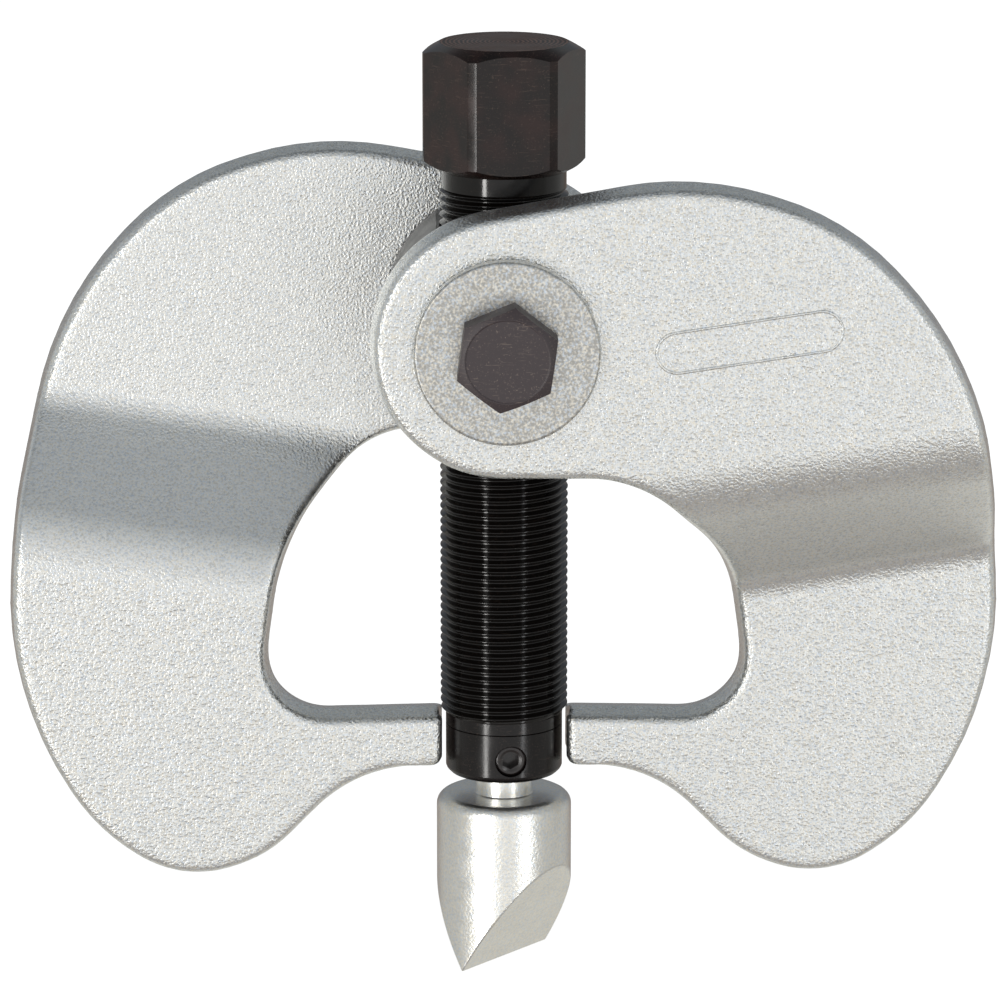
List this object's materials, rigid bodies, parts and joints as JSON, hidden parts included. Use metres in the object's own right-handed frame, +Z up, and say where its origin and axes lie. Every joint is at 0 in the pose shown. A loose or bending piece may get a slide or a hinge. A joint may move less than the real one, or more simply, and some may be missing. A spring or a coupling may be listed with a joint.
{
  "type": "ball joint separator",
  "caption": "Two-jaw screw separator: joggled C-shaped jaws swing on a nut block while a fine-threaded hex-head spindle drives a swivelling wedge between their tips.",
  "frame": {"origin": "where the pivot axis of the jaws crosses the spindle's axis, inside the nut block", "axes": "+Z up the spindle towards its hex head, Y along the pivot axis with the front jaw at -Y, +X towards the front jaw's outer side"},
  "size_m": [0.186, 0.0748, 0.1765],
  "materials": {
    "zinc_plated_forging": "blasted and zinc plated drop forging, satin",
    "zinc_plated_washer": "zinc plated, smooth satin",
    "zinc_plated_wedge": "turned, milled and zinc plated",
    "black_oxide_steel": "black oxide, oiled satin",
    "phosphated_bolt": "phosphated, dull black-brown",
    "bearing_steel": "polished"
  },
  "bodies": {
    "nut": {"nut_block": "black_oxide_steel", "front_washer": "zinc_plated_washer", "rear_washer": "zinc_plated_washer", "front_bolt": "phosphated_bolt", "rear_bolt": "phosphated_bolt"},
    "front_jaw": {"front_jaw": "zinc_plated_forging"},
    "rear_jaw": {"rear_jaw": "zinc_plated_forging"},
    "thrust": {"thrust_ball": "bearing_steel"},
    "spindle": {"spindle": "black_oxide_steel", "set_screw": "black_oxide_steel"},
    "wedge": {"wedge": "zinc_plated_wedge"}
  },
  "joints": [
    {"name": "front_jaw_swing", "type": "hinge", "parent": "nut", "child": "front_jaw", "pos_m": [0, 0, 0], "axis": [0, -1, 0], "range_deg": [0, 90]},
    {"name": "rear_jaw_swing", "type": "hinge", "parent": "nut", "child": "rear_jaw", "pos_m": [0, 0, 0], "axis": [0, 1, 0], "range_deg": [0, 90]},
    {"name": "spindle_feed", "type": "slide", "parent": "nut", "child": "thrust", "axis": [0, 0, 1], "range_m": [-0.01, 0.0052]},
    {"name": "spindle_turn", "type": "hinge", "parent": "thrust", "child": "spindle", "pos_m": [0, 0, -0.06], "axis": [0, 0, 1], "range_deg": [-2400, 1245]},
    {"name": "wedge_swivel", "type": "hinge", "parent": "thrust", "child": "wedge", "pos_m": [0, 0, -0.09], "axis": [0, 0, 1], "continuous": true}
  ],
  "couplings": [
    {"joint": "spindle_feed", "follows": "spindle_turn", "m_per_rad": 0.00023873}
  ]
}
